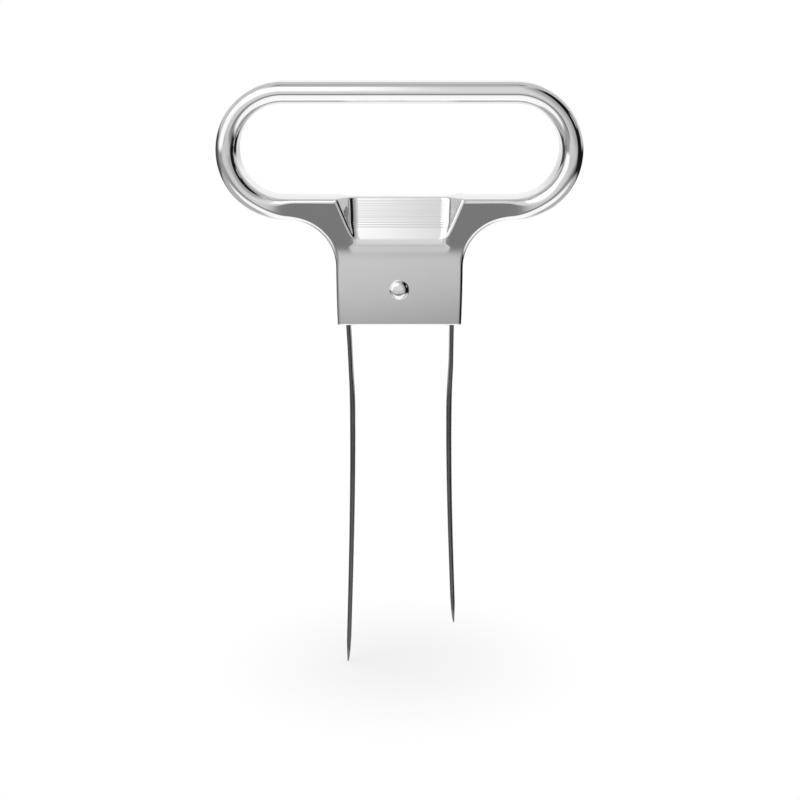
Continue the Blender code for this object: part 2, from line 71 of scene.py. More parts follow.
# %% [markdown]
# ## Sizes
#
# All lengths are in metres, so a size in millimetres is written as a number times MM. The plan of
# the handle is drawn around the rivet: x runs across the handle and z runs up from the rivet's axis.
# A depth is counted from the middle plane to a face. The frame's hinge tells us where the rivet is.
#
# The press bends the sheet in a few places. We write its course as pairs of a height in millimetres
# and the sheet's lean there in degrees, and between two pairs the sheet follows an arc. The wings
# have one such list and the thumb rest has another.

# %% Sizes of the handle
RIVET_Z = frame["joints"][0]["pos_m"][2]

LOOP_SPAN = 66.4 * MM
LOOP_HEIGHT = 24.6 * MM
LOOP_DEPTH = 9.9 * MM
LOOP_RISE = 25.1 * MM
BEAD_WIDTH = 3.8 * MM

SHEET = 0.8 * MM
SEAM = 0.03 * MM
PLATE_EDGE = 0.7 * MM
INNER_EDGE = 0.15 * MM

NECK_WIDTH = 23.2 * MM
MOUTH_WIDTH = 22.8 * MM
NECK_DEPTH = 8.5 * MM
NECK_DROP = 6.7 * MM
MOUTH_EDGE = 0.35 * MM
EDGE_SUPPORT = 0.06 * MM
WING_FILLET = 8.8 * MM
WING_BENDS = ((5.4, 0), (6.65, -0.9), (9.0, -4), (16.6, -4))
BEAD_END = 27.0 * MM
PLATE_START = 18.8 * MM

END_RADIUS = LOOP_HEIGHT / 2
HOLE_RADIUS = END_RADIUS - BEAD_WIDTH
HALF_STRAIGHT = LOOP_SPAN / 2 - END_RADIUS
LOOP_BOTTOM = LOOP_RISE - END_RADIUS
FILLET_X = NECK_WIDTH / 2 + WING_FILLET
FILLET_Z = LOOP_BOTTOM - WING_FILLET
print("rivet axis at z = %.2f mm" % (RIVET_Z / MM))

# %% Sizes of the thumb rest
REST_TOP = LOOP_RISE - HOLE_RADIUS
FOLD_RISE = 6.65 * MM
REST_BENDS = (
    (5.4, 0),
    (6.65, -0.9),
    (7.5, 0.5),
    (8.45, 4),
    (9.05, 11),
    (9.6, 17),
    (11.4, 18),
    (13.2, 26),
    (16.6, 22),
)
LIP_EDGE = 0.2 * MM

# half the cut's width and the radii beside it, each by height, all in millimetres
CUT_LINE = ((6.65, 9.0), (8.1, 9.35), (9.75, 8.65), (16.6, 11.47))
CUT_RADII = ((8.6, 4.0), (9.75, 1.0))
SIDE_RADII = ((8.9, 8.0), (9.7, 1.5), (11.0, 1.5), (12.4, 2.2))
CUT_FOOT_RISE = 9.75 * MM
CUT_MARGIN = 0.55 * MM
FACET_LEAN = math.radians(55)
FACET_SHARES = (0.1, 0.9, 1)
LEAST_LEAN = math.radians(6)
LEAST_FACET = 0.04 * MM

GROOVE_COUNT = 13
GROOVE_PITCH = 0.41 * MM
GROOVE_DEPTH = 0.06 * MM
GROOVE_REACH = 0.8 * MM
GROOVE_TOP_GAP = 0.15 * MM
GROOVE_RUN_OUT = 0.5 * MM
RUN_OUT_SHARES = (0.25, 0.5)
print("grooves end %.2f mm below the lip" % ((GROOVE_TOP_GAP + GROOVE_COUNT * GROOVE_PITCH) / MM))

# %% [markdown]
# ## Three helpers
#
# `mix` goes in a straight line from one value to another, `limited` keeps a share between 0 and 1,
# and `smooth` lets it start and end gently. Most of the handle's form is such a mix of a round bead
# and a flat plate.

# %% Helpers
def mix(a, b, share):
    return a + (b - a) * share


def limited(share):
    return min(max(share, 0.0), 1.0)


def smooth(share):
    share = limited(share)
    return share * share * (3 - 2 * share)


print("halfway:", mix(2, 4, 0.5), smooth(0.5))

# %% [markdown]
# ## Steel
#
# The handle is nickel and chrome plated, polished but not a perfect mirror: under a lens the sheet
# keeps a very fine grain from the press and the polishing wheel. We build it as a metallic shader
# with a low roughness that varies a little, and a bump so fine that it only softens the reflections.
# The prongs are ground lengthwise before they are plated, so their grain runs along them: the same
# noise, stretched by scaling its coordinates far less along z than across. The hidden sleeve is
# plain steel as it comes off the lathe, with its grain round the axis.

# %% Values for steel
GRAIN_DETAIL = 2
CLOUD_SCALE = 150
CLOUD_DETAIL = 3
NOISE_LOW, NOISE_HIGH = 0.3, 0.7
DARKER = 0.97

# name: shade, lowest and highest roughness, the grain's scale per metre on x, y and z, its height
FINISHES = {
    "bright_chrome": ((0.88, 0.88, 0.885), 0.045, 0.075, (9000, 9000, 9000), 0.0008 * MM),
    "ground_spring_steel": ((0.2, 0.2, 0.205), 0.2, 0.3, (12000, 12000, 400), 0.001 * MM),
    "turned_steel": ((0.55, 0.55, 0.56), 0.25, 0.35, (400, 9000, 400), 0.001 * MM),
}
print("roughness of the chrome:", FINISHES["bright_chrome"][1:3])

# %% A noise
def noise(tree, vector, scale, detail):
    """A noise over these coordinates, and the link that carries it."""
    node = tree.nodes.new("ShaderNodeTexNoise")
    node.inputs["Scale"].default_value = scale
    node.inputs["Detail"].default_value = detail
    tree.links.new(vector, node.inputs["Vector"])
    return node.outputs["Fac"]


print("detail of grain and clouds:", GRAIN_DETAIL, CLOUD_DETAIL)

# %% Make a steel
def steel(name, shade, rough_low, rough_high, grain_scale, grain_height):
    """Metal whose roughness varies in soft clouds, with a fine grain in its colour and surface."""
    material = bpy.data.materials.new(name)
    material.use_nodes = True
    tree = material.node_tree
    nodes, links = tree.nodes, tree.links
    shader = nodes["Principled BSDF"]
    shader.inputs["Metallic"].default_value = 1
    place = nodes.new("ShaderNodeTexCoord")
    mapping = nodes.new("ShaderNodeMapping")
    mapping.inputs["Scale"].default_value = grain_scale
    links.new(place.outputs["Object"], mapping.inputs["Vector"])

    grain = noise(tree, mapping.outputs["Vector"], 1, GRAIN_DETAIL)
    cloud = noise(tree, place.outputs["Object"], CLOUD_SCALE, CLOUD_DETAIL)

    rough = nodes.new("ShaderNodeMapRange")
    rough.inputs["From Min"].default_value = NOISE_LOW
    rough.inputs["From Max"].default_value = NOISE_HIGH
    rough.inputs["To Min"].default_value = rough_low
    rough.inputs["To Max"].default_value = rough_high
    links.new(cloud, rough.inputs["Value"])
    links.new(rough.outputs["Result"], shader.inputs["Roughness"])

    colour = nodes.new("ShaderNodeMapRange")
    colour.data_type = "FLOAT_VECTOR"
    # a map range keeps its vector sockets after its plain ones
    value, from_min, from_max, to_min, to_max = list(colour.inputs)[6:11]
    from_min.default_value = [NOISE_LOW] * 3
    from_max.default_value = [NOISE_HIGH] * 3
    to_min.default_value = [DARKER * v for v in shade]
    to_max.default_value = shade
    links.new(grain, value)
    links.new(colour.outputs[1], shader.inputs["Base Color"])

    bump = nodes.new("ShaderNodeBump")
    bump.inputs["Strength"].default_value = 1
    bump.inputs["Distance"].default_value = grain_height
    links.new(grain, bump.inputs["Height"])
    links.new(bump.outputs["Normal"], shader.inputs["Normal"])
    return material


chrome, ground_steel, turned_steel = [steel(name, *FINISHES[name]) for name in FINISHES]
print("finishes:", [finish.name for finish in (chrome, ground_steel, turned_steel)])

# %% [markdown]
# ## A mesh that takes the place of a node
#
# Each piece is made from lists of corners and faces, is shaded smooth with its real corners kept
# sharp, rides on a body of the frame and stands for one of the frame's nodes.

# %% Put a piece in place
SHARP_ANGLE = math.radians(30)


def add_piece(name, vertices, faces, material, body, node):
    """A mesh of one steel that rides on a body and stands for a node of the frame."""
    mesh = bpy.data.meshes.new(name)
    mesh.from_pydata(vertices, [], faces)
    mesh.materials.append(material)
    mesh.shade_smooth()
    mesh.set_sharp_from_angle(angle=SHARP_ANGLE)
    piece = bpy.data.objects.new(name, mesh)
    bpy.context.collection.objects.link(piece)
    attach(piece, body)
    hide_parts(node)
    print(name, "has", len(faces), "faces")


print("edges stay sharp above %.0f degrees" % math.degrees(SHARP_ANGLE))

# %% [markdown]
# ## The handle's outline
#
# Seen from the front, the loop is a band of even width round a slot with round ends, and the neck
# grows out of its lower side through two wide fillets. `edge_distance` answers one question for any
# point of the sheet: how far is it to the nearest edge? The roundness of the bead and of the plate's
# edges follows from that distance alone.

# %% Outline
def neck_half(z):
    """Half the neck's width, from its mouth up to where the wing's fillet starts."""
    share = limited((z + NECK_DROP) / (FILLET_Z + NECK_DROP))
    return mix(NECK_WIDTH, MOUTH_WIDTH, (1 - share) ** 2) / 2


def loop_reach(x, z):
    """Distance from the loop's spine line to a plan position."""
    return math.hypot(max(abs(x) - HALF_STRAIGHT, 0.0), z - LOOP_RISE)


def edge_distance(x, z, inset):
    """Distance to the nearest edge of the outline, drawn in by inset."""
    to_hole = loop_reach(x, z) - HOLE_RADIUS - inset
    if z > LOOP_RISE or abs(x) > HALF_STRAIGHT:
        to_outline = END_RADIUS - inset - loop_reach(x, z)
    elif abs(x) >= FILLET_X:
        to_outline = z - LOOP_BOTTOM - inset
    elif z <= FILLET_Z:
        to_outline = neck_half(z) - inset - abs(x)
    else:
        to_outline = math.hypot(FILLET_X - abs(x), z - FILLET_Z) - WING_FILLET - inset
    return max(min(to_hole, to_outline), 0.0)


print("middle of the top bar is %.2f mm from an edge"
      % (edge_distance(0, LOOP_RISE + END_RADIUS - BEAD_WIDTH / 2, 0) / MM))

# %% [markdown]
# ## The depth of the face
#
# The bead is a full round and the neck is a flat plate with small rounded edges. `flatness` says how
# much of each a place has. Above the crease the plate flares out a little, because the loop is
# deeper than the neck. The thumb rest leans back from the crease instead, in a few soft steps as
# the press left them, up to a thin lip where the two half shells meet. Between the wings it makes
# a hollow for the thumb.

# %% Flat places and bends
def flatness(x, z):
    """0 where the loop is a round bead and 1 where it has become a flat plate."""
    if z > LOOP_RISE:
        return 0.0
    return smooth((BEAD_END - abs(x)) / (BEAD_END - PLATE_START))


def bent_sheet(z, bends):
    """Depth and lean, at this height, of the neck's plane carried on upwards through these bends."""
    depth, lean = NECK_DEPTH / 2, 0.0
    for (low, first), (high, last) in zip(bends, bends[1:]):
        run = (min(z, high * MM) - low * MM) / MM
        if run <= 0:
            break
        start, end = math.sin(math.radians(first)), math.sin(math.radians(last))
        lean = math.asin(mix(start, end, run / (high - low)))
        if first == last:
            depth -= run * MM * math.tan(lean)
        else:
            radius = (high - low) * MM / (end - start)
            depth -= radius * (math.cos(math.radians(first)) - math.cos(lean))
    return depth - max(z - bends[-1][0] * MM, 0.0) * math.tan(lean), lean


def plate_depth(z):
    """Depth of the neck's plane and, above the crease, of the wings that flare out of it."""
    return bent_sheet(z, WING_BENDS)[0]


print("depth of the wing at the hole: %.2f mm" % (plate_depth(REST_TOP) / MM))
print("depth of the lip: %.2f mm" % (bent_sheet(REST_TOP, REST_BENDS)[0] / MM))

# %% Depth of the face
def plate_edge(inset):
    """Radius of the plate's edges, on the outer skin or on the one that is drawn in by inset."""
    return INNER_EDGE if inset else PLATE_EDGE


def edge_radius(x, z, inset):
    """Radius of the nearest edge's rounding: half the bead's width, the plate's, or between."""
    return mix(BEAD_WIDTH / 2 - inset, plate_edge(inset), flatness(x, z))


def edge_drop(distance, radius):
    """How far the face falls away over an edge of this radius."""
    return radius * (1 - math.sqrt(1 - (1 - limited(distance / radius)) ** 2))


def face_depth(x, z, inset):
    """Depth of the loop, the wings and the neck: a crown that falls away over its edges."""
    crown = mix(LOOP_DEPTH / 2, plate_depth(z), flatness(x, z)) - inset
    return crown - edge_drop(edge_distance(x, z, inset), edge_radius(x, z, inset))


print("depth of the neck's face: %.2f mm" % (face_depth(0, 0, 0) / MM))

# %% Depth of the grooves
def groove_depth(x, z, end):
    """Depth, at this place, of the fine grooves that run across from -end to end."""
    along = (REST_TOP - GROOVE_TOP_GAP - z) / GROOVE_PITCH
    if not 0 < along < GROOVE_COUNT:
        return 0.0
    return GROOVE_DEPTH * math.sin(math.pi * along) ** 2 * smooth((end - abs(x)) / GROOVE_RUN_OUT)


FIRST_GROOVE = REST_TOP - GROOVE_TOP_GAP - GROOVE_PITCH / 2
print("depth of a groove: %.2f mm" % (groove_depth(0, FIRST_GROOVE, GROOVE_RUN_OUT) / MM))

# %% [markdown]
# ## Lines across the face
#
# To turn the outline into quads, we draw lines from the hole's edge to the outer edge, like the
# spokes of a wheel. Neighbouring lines have the same number of points, so joining them gives clean
# rows of quads that follow the bead round and run out into the wings. The last line of each wing
# runs down the cut beside the thumb rest. Here the counts are high: a mirror shows every facet.

# %% How finely the lines are sampled
ARC_STEPS = 72
TOP_STEPS = 12
WING_STEPS = 30
NECK_STEPS = 20
REST_MIDDLE_STEPS = 6
CORNER_STEPS = 8
EDGE_STEPS = 8
ROWS_PER_GROOVE = 6
CUT_STEPS = 6
FOOT_STEPS = 12
SHOULDER_STEPS = 12
SAME_PLACE = 0.00003 * MM


def edge_steps(radius):
    """Distances from an edge at which its rounding is sampled."""
    return [radius * (1 - math.cos(math.pi / 2 * i / EDGE_STEPS)) for i in range(EDGE_STEPS + 1)]


def between(start, end, steps):
    """Even points from start to end, without those two."""
    return [start.lerp(end, i / steps) for i in range(1, steps)]


print("an edge is sampled at", [round(d / MM, 3) for d in edge_steps(PLATE_EDGE)])

# %% The cut by height
def read_off(z, knots):
    """Value at this height on a line through knots, all in millimetres."""
    for (low, first), (high, last) in zip(knots, knots[1:]):
        if z <= high * MM:
            break
    return mix(first, last, limited((z / MM - low) / (high - low))) * MM


def cut_half(z):
    """Half the distance between the two cut edges and, below them, between the rest's sides."""
    return read_off(z, CUT_LINE)


print("the cut is %.1f mm wide at the lip" % (2 * cut_half(REST_TOP) / MM))

# %% The fold line beside the thumb rest
def fold_line(inset):
    """The last line of the left wing: down its cut edge to the thumb rest's foot, then to the neck."""
    edges = edge_steps(plate_edge(inset))
    shift = inset / 2 + CUT_MARGIN
    top = Vector((-cut_half(REST_TOP - inset) - shift, REST_TOP - inset))
    cut_foot = Vector((-cut_half(CUT_FOOT_RISE) - shift, CUT_FOOT_RISE))
    foot = Vector((inset - NECK_WIDTH / 2, FILLET_Z))
    down_cut = (cut_foot - top) / (top.y - cut_foot.y)
    grooves_end = REST_TOP - GROOVE_TOP_GAP - GROOVE_COUNT * GROOVE_PITCH
    ridged = top + down_cut * (top.y - grooves_end)
    points = [top + down_cut * distance for distance in edges]
    grooves = (points[-1].y - ridged.y) / GROOVE_PITCH
    rows = RIDGED_ROWS if inset else round(grooves * ROWS_PER_GROOVE)
    points += between(points[-1], ridged, rows) + [ridged]
    points += between(ridged, cut_foot, CUT_STEPS) + [cut_foot]
    for i in range(1, FOOT_STEPS + 1):
        z = mix(CUT_FOOT_RISE, FOLD_RISE, i / FOOT_STEPS)
        points.append(Vector((-cut_half(z) - shift, z)))
    fold = points[-1]
    to_side = (foot - fold) / (fold.x - foot.x)
    side = [foot - to_side * distance for distance in reversed(edges)]
    return points + between(fold, side[0], SHOULDER_STEPS) + side


def line_shares(points):
    """How far along the line each of its points lies, from 0 to 1."""
    lengths = [(b - a).length for a, b in zip(points, points[1:])]
    total = sum(lengths)
    return [sum(lengths[:i]) / total for i in range(len(points))]


BELOW_FOLD = SHOULDER_STEPS + EDGE_STEPS
# the inner skin takes its count of rows from the outer one, so that the two match
RIDGED_ROWS = len(fold_line(0)) - EDGE_STEPS - 1 - CUT_STEPS - FOOT_STEPS - BELOW_FOLD
print("the fold line has", len(fold_line(0)), "points")

# %% A spoke
def spoke(start, end, inset, last, bend_share, last_shares):
    """A line from the hole's edge to the outer edge, spaced for a bead or a plate as it is there.
    It takes bend_share of the bend that the last line, the fold line, has."""
    steps = len(last) - 1
    flat = flatness(start.x, start.y)
    reach = (end - start).length
    edges = [distance / reach for distance in edge_steps(edge_radius(start.x, start.y, inset))]
    low, high = last_shares[EDGE_STEPS], last_shares[steps - EDGE_STEPS]
    points = []
    for i in range(steps + 1):
        round_share = (1 - math.cos(math.pi * i / steps)) / 2
        if i <= EDGE_STEPS:
            plate_share = edges[i]
        elif i >= steps - EDGE_STEPS:
            plate_share = 1 - edges[steps - i]
        else:
            middle = (last_shares[i] - low) / (high - low)
            plate_share = mix(edges[-1], 1 - edges[-1], middle)
        bend = last[i] - last[0].lerp(last[-1], last_shares[i])
        share = mix(round_share, plate_share, flat)
        points.append(start.lerp(end, share) + bend * bend_share)
    return points


print("points of each spoke:", len(fold_line(0)))

# %% Lines of a wing and of the loop's end
def wing_foot(share, inset):
    """A point on the wing's lower outline, from the loop to the neck's side."""
    radius = WING_FILLET + inset
    straight = HALF_STRAIGHT - FILLET_X
    along = share * (straight + radius * math.pi / 2)
    if along <= straight:
        return Vector((along - HALF_STRAIGHT, LOOP_BOTTOM + inset))
    angle = (along - straight) / radius
    return Vector((radius * math.sin(angle) - FILLET_X, FILLET_Z + radius * math.cos(angle)))


def wing_lines(inset):
    """Lines of the left wing, from the loop to the fold line."""
    last = fold_line(inset)
    shares = line_shares(last)
    lines = []
    for i in range(1, WING_STEPS):
        share = i / WING_STEPS
        start = Vector((mix(-HALF_STRAIGHT, last[0].x, share), REST_TOP - inset))
        lines.append(spoke(start, wing_foot(share, inset), inset, last, share ** 2, shares))
    return lines + [last]


def end_lines(inset):
    """Lines round the loop's left end, from its foot to its top."""
    last = fold_line(inset)
    shares = line_shares(last)
    centre = Vector((-HALF_STRAIGHT, LOOP_RISE))
    lines = []
    for i in range(ARC_STEPS + 1):
        angle = math.pi * i / ARC_STEPS
        outwards = Vector((-math.sin(angle), -math.cos(angle)))
        start = centre + outwards * (HOLE_RADIUS + inset)
        end = centre + outwards * (END_RADIUS - inset)
        lines.append(spoke(start, end, inset, last, 0, shares))
    return lines


print("lines of a wing:", len(wing_lines(0)), "and of a loop's end:", len(end_lines(0)))

# %% All lines of the loop
def mirrored(lines):
    """The same lines on the other side, in the order that carries on round the loop."""
    return [[Vector((-p.x, p.y)) for p in line] for line in reversed(lines)]


def loop_lines(inset):
    """All lines from the left fold line, over the loop, to the right fold line."""
    left = list(reversed(wing_lines(inset))) + end_lines(inset)
    right = mirrored(left)
    top = [
        [a.lerp(b, i / TOP_STEPS) for a, b in zip(left[-1], right[0])]
        for i in range(1, TOP_STEPS)
    ]
    return left + top + right


print("lines round the whole loop:", len(loop_lines(0)))

# %% [markdown]
# ## The thumb rest and the neck
#
# The rest is built in level rows from one cut edge to the other: the sloped facet of the cut, a
# rounded side, the hollow floor with its fine grooves, and the same again mirrored. The neck carries
# on from the lowest row down to the mouth, so both blocks share their corners with the wings.

# %% Places across the floor
def floor_reaches(start):
    """Places across the hollow floor, with extra ones where the grooves run out."""
    sides = [start + GROOVE_RUN_OUT * share for share in RUN_OUT_SHARES]
    shares = [i / REST_MIDDLE_STEPS for i in range(1, REST_MIDDLE_STEPS)]
    middle = [mix(sides[-1], -sides[-1], share) for share in shares]
    return sides + middle + [-x for x in reversed(sides)]


print("the floor is sampled at", len(floor_reaches(-cut_half(REST_TOP))), "places")

# %% The side of a row
def side_line(z, inset):
    """The left side of one level line, from the wing to the hollow's floor: (x, depth) points round
    the cut edge, along the facet and round into the floor."""
    rest, rest_lean = bent_sheet(z, REST_BENDS)
    wing = plate_depth(z) - inset
    rest -= inset / math.cos(rest_lean)
    cut_radius = max(read_off(z, CUT_RADII) - inset, INNER_EDGE)
    side_radius = read_off(z, SIDE_RADII) + inset
    bends = cut_radius + side_radius
    turned_back = max(1 - (wing - rest) / bends, math.cos(FACET_LEAN))
    lean = math.acos(min(turned_back, math.cos(LEAST_LEAN)))
    facet = max((wing - rest - bends * (1 - math.cos(lean))) / math.tan(lean), LEAST_FACET)
    x = -cut_half(z) - (inset + cut_radius) * math.tan(lean / 2)
    points = []
    for i in range(CORNER_STEPS + 1):
        turn = lean * i / CORNER_STEPS
        points.append((x + cut_radius * math.sin(turn), cut_radius * (1 - math.cos(turn))))
    x, drop = points[-1]
    for share in FACET_SHARES:
        points.append((x + facet * share, drop + facet * share * math.tan(lean)))
    x, drop = points[-1]
    for i in range(1, CORNER_STEPS + 1):
        turn = lean * (1 - i / CORNER_STEPS)
        across = side_radius * (math.sin(lean) - math.sin(turn))
        points.append((x + across, drop + side_radius * (math.cos(turn) - math.cos(lean))))
    scale = (wing - rest) / points[-1][1]
    return [(x, wing - drop * scale) for x, drop in points]


print("points down the side of the lip's row:", len(side_line(REST_TOP, 0)))

# %% A whole row
def rest_row(corner, inset):
    """One level line across the thumb rest, between the two fold lines: (x, z, depth) points."""
    z = corner.y
    points = side_line(z, inset)
    points = [(corner.x, points[0][1])] + points
    lip_edge = INNER_EDGE if inset else LIP_EDGE
    row = []
    for i, (x, depth) in enumerate(points):
        radius = mix(plate_edge(inset), lip_edge, limited(i / CORNER_STEPS))
        row.append((x, z, depth - edge_drop(max(REST_TOP - inset - z, 0.0), radius)))
    end_x, _, end_depth = row[-1]
    row += [(x, z, end_depth) for x in floor_reaches(end_x)]
    row += [(-x, z, depth) for x, z, depth in reversed(row[: len(points)])]
    if inset:
        return row
    return [(x, z, depth - groove_depth(x, z, GROOVE_REACH - end_x)) for x, z, depth in row]


print("points in a row of the rest:", len(rest_row(fold_line(0)[0], 0)))

# %% Rows of the neck
def neck_row(top_row, sides, share, rise, inset):
    """One line across the neck, share of the way from its top line down to rise above its mouth."""
    row = []
    for i, (x, z, _) in enumerate(top_row):
        level = mix(z, rise - NECK_DROP, share)
        from_side = min(i, len(top_row) - 1 - i)
        if from_side < len(sides):
            x = math.copysign(neck_half(level) - inset - sides[from_side], x)
        depth = face_depth(x, level, inset)
        if inset == 0:
            depth -= edge_drop(level + NECK_DROP, MOUTH_EDGE)
        row.append((x, level, depth))
    return row


print("rows of the neck:", NECK_STEPS + EDGE_STEPS + 2)

# %% The blocks together
def face_blocks(inset):
    """The half shell's face as blocks of rows of (x, z, depth): loop with wings, thumb rest, neck."""
    fold = fold_line(inset)
    fold_index = len(fold) - 1 - BELOW_FOLD
    loop = [[(p.x, p.y, face_depth(p.x, p.y, inset)) for p in line] for line in loop_lines(inset)]
    rest = [rest_row(fold[i], inset) for i in range(fold_index + 1)]
    left_foot = list(reversed(loop[0][fold_index + 1 :]))
    right_foot = loop[-1][fold_index + 1 :]
    top_row = left_foot + rest[-1] + right_foot
    sides = edge_steps(plate_edge(inset))
    flat_end = MOUTH_EDGE + EDGE_SUPPORT
    neck = [top_row]
    for i in range(1, NECK_STEPS + 1):
        neck.append(neck_row(top_row, sides, i / NECK_STEPS, flat_end, inset))
    for rise in reversed(edge_steps(MOUTH_EDGE)):
        neck.append(neck_row(top_row, sides, 1, rise, inset))
    for i, row in enumerate(rest):
        loop[0][i], loop[-1][i] = row[0], row[-1]
    return [loop, rest, neck]


print("blocks, rows x points:", [(len(block), len(block[0])) for block in face_blocks(0)])

# %% [markdown]
# ## From face to sheet
#
# A pressed sheet has two sides. We make the outer skin, then the inner skin from the same rows drawn
# in by the sheet's thickness, walk round the open edges of both to give them walls down to the seam,
# and join the two rims. The result is one closed solid shell, as thick as the real steel.

# %% A skin of shared points
class Skin:
    """A sheet's one side: points shared where blocks meet, and faces over them."""

    def __init__(self):
        self.points = []
        self.index = {}
        self.faces = []

    def point(self, key, place):
        if key not in self.index:
            self.index[key] = len(self.points)
            self.points.append(place)
        return self.index[key]

    def add_block(self, keys, rows):
        """Quads over rows of places; equal keys mean one shared point."""
        grid = [
            [self.point(key, place) for key, place in zip(key_row, row)]
            for key_row, row in zip(keys, rows)
        ]
        for upper, lower in zip(grid, grid[1:]):
            for a, b, c, d in zip(upper, upper[1:], lower[1:], lower):
                self.faces.append((a, b, c, d))

    def open_edges(self):
        """Edges that only one face has."""
        edges = {}
        for face in self.faces:
            for a, b in zip(face, face[1:] + face[:1]):
                edges[(a, b)] = True
        return [(a, b) for a, b in edges if (b, a) not in edges]

    def add_walls(self, mouth_z):
        """Walls from every edge but the mouth's down to the seam."""
        feet = {}
        for a, b in self.open_edges():
            if all(abs(self.points[i][1] - mouth_z) < SAME_PLACE for i in (a, b)):
                continue
            for i in (a, b):
                if i not in feet:
                    x, z, _ = self.points[i]
                    feet[i] = len(self.points)
                    self.points.append((x, z, SEAM / 2))
            self.faces.append((b, a, feet[a], feet[b]))


print("a skin can do:", [name for name in vars(Skin) if not name.startswith("_")])

# %% The two skins
def rounded_key(place):
    """The same key for two places that are closer than the blocks' rounding errors."""
    return tuple(round(value / SAME_PLACE) for value in place[:2])


def shell_skin(inset):
    """The half shell's outer skin, or the inner one with its points shared in the same way."""
    skin = Skin()
    for keys, rows in zip(face_blocks(0), face_blocks(inset)):
        skin.add_block([[rounded_key(place) for place in row] for row in keys], rows)
    skin.add_walls(-NECK_DROP)
    return skin


outer_skin, inner_skin = shell_skin(0), shell_skin(SHEET)
print("points of each skin:", len(outer_skin.points), len(inner_skin.points))

# %% The two half shells
def half_shell(name, side, node):
    """A half shell; side is -1 for the front and 1 for the rear."""
    count = len(outer_skin.points)
    vertices = [
        (x, side * depth, z + RIVET_Z) for x, z, depth in outer_skin.points + inner_skin.points
    ]
    faces = list(outer_skin.faces)
    faces += [tuple(i + count for i in reversed(face)) for face in inner_skin.faces]
    faces += [(b, a, a + count, b + count) for a, b in outer_skin.open_edges()]
    if side > 0:
        faces = [tuple(reversed(face)) for face in faces]
    add_piece(name, vertices, faces, chrome, "handle", node)


half_shell("front_pressed_sheet", -1, "handle_front_shell")
half_shell("rear_pressed_sheet", 1, "handle_rear_shell")

# %% [markdown]
# ## Rivet and sleeve
#
# The rivet is a plain shank with a low dome hammered on each end. The sleeve on it keeps the hollow
# neck from closing under the hammer. Both are turned forms: a profile of (radius, y) points swept
# round the axis. A hammer never falls quite true, so each head leans a little and has its crown a
# little to the left. In a mirror even that shows, as the bright spot is not in the middle.

# %% Sizes of rivet and sleeve
ROUND_FACETS = 64
DOME_STEPS = 12
RIVET_RADIUS = 1.2 * MM
HEAD_RADIUS = 1.84 * MM
HEAD_HEIGHT = 1.3 * MM
CAP_RADIUS = 6.0 * MM
CAP_REACH = 0.9 * MM
LEAN_UP = math.tan(math.radians(5))
CROWN_LEFT = 0.2 * MM
SLEEVE_BORE = 1.3 * MM
SLEEVE_RADIUS = 2.3 * MM
SLEEVE_EDGE = 0.15 * MM
SLEEVE_END = NECK_DEPTH / 2 - SHEET
print("the sleeve is %.1f mm long" % (2 * SLEEVE_END / MM))

# %% Turned forms
def ring(radius, y):
    """Corners of a circle round the rivet's axis."""
    angles = [2 * math.pi * i / ROUND_FACETS for i in range(ROUND_FACETS)]
    return [(radius * math.cos(a), y, radius * math.sin(a) + RIVET_Z) for a in angles]


def turned(profile, closed):
    """Vertices and faces of a profile turned about the rivet's axis; closed joins its two ends."""
    vertices = [corner for radius, y in profile for corner in ring(radius, y)]
    rings = len(profile)
    faces = []
    for k in range(rings if closed else rings - 1):
        a, b = k * ROUND_FACETS, (k + 1) % rings * ROUND_FACETS
        for i in range(ROUND_FACETS):
            j = (i + 1) % ROUND_FACETS
            faces.append((a + i, b + i, b + j, a + j))
    if not closed:
        faces.append(tuple(range(ROUND_FACETS)))
        faces.append(tuple(reversed(range(len(vertices) - ROUND_FACETS, len(vertices)))))
    return vertices, faces


print("corners of a ring:", len(ring(RIVET_RADIUS, 0)))

# %% Rivet
def dome_profile():
    """Half of the rivet, from the middle of its shank out over its front head."""
    seat = NECK_DEPTH / 2
    crown = seat + HEAD_HEIGHT
    cap_turn = math.asin(CAP_REACH / CAP_RADIUS)
    rim_radius = (HEAD_RADIUS - CAP_REACH) / (1 - math.sin(cap_turn))
    dome = []
    for i in range(1, DOME_STEPS + 1):
        turn = cap_turn * i / DOME_STEPS
        dome.append((CAP_RADIUS * math.sin(turn), crown - CAP_RADIUS * (1 - math.cos(turn))))
    rim_top = dome[-1][1]
    for i in range(1, DOME_STEPS + 1):
        turn = mix(cap_turn, math.pi / 2, i / DOME_STEPS)
        out = CAP_REACH + rim_radius * (math.sin(turn) - math.sin(cap_turn))
        dome.append((out, rim_top - rim_radius * (math.cos(cap_turn) - math.cos(turn))))
    return dome + [(HEAD_RADIUS, seat), (RIVET_RADIUS, seat)]


def hammered(corner):
    """The same corner after the head has been set a little askew by the hammer."""
    x, y, z = corner
    share = max(abs(y) - NECK_DEPTH / 2, 0.0) / HEAD_HEIGHT
    side = math.copysign(1, y)
    return x - CROWN_LEFT * share, y - side * share * LEAN_UP * (z - RIVET_Z), z


front_half = [(radius, -y) for radius, y in dome_profile()]
vertices, faces = turned(front_half + dome_profile()[::-1], False)
vertices = [hammered(corner) for corner in vertices]
add_piece("domed_rivet", vertices, faces, chrome, "handle", "rivet")

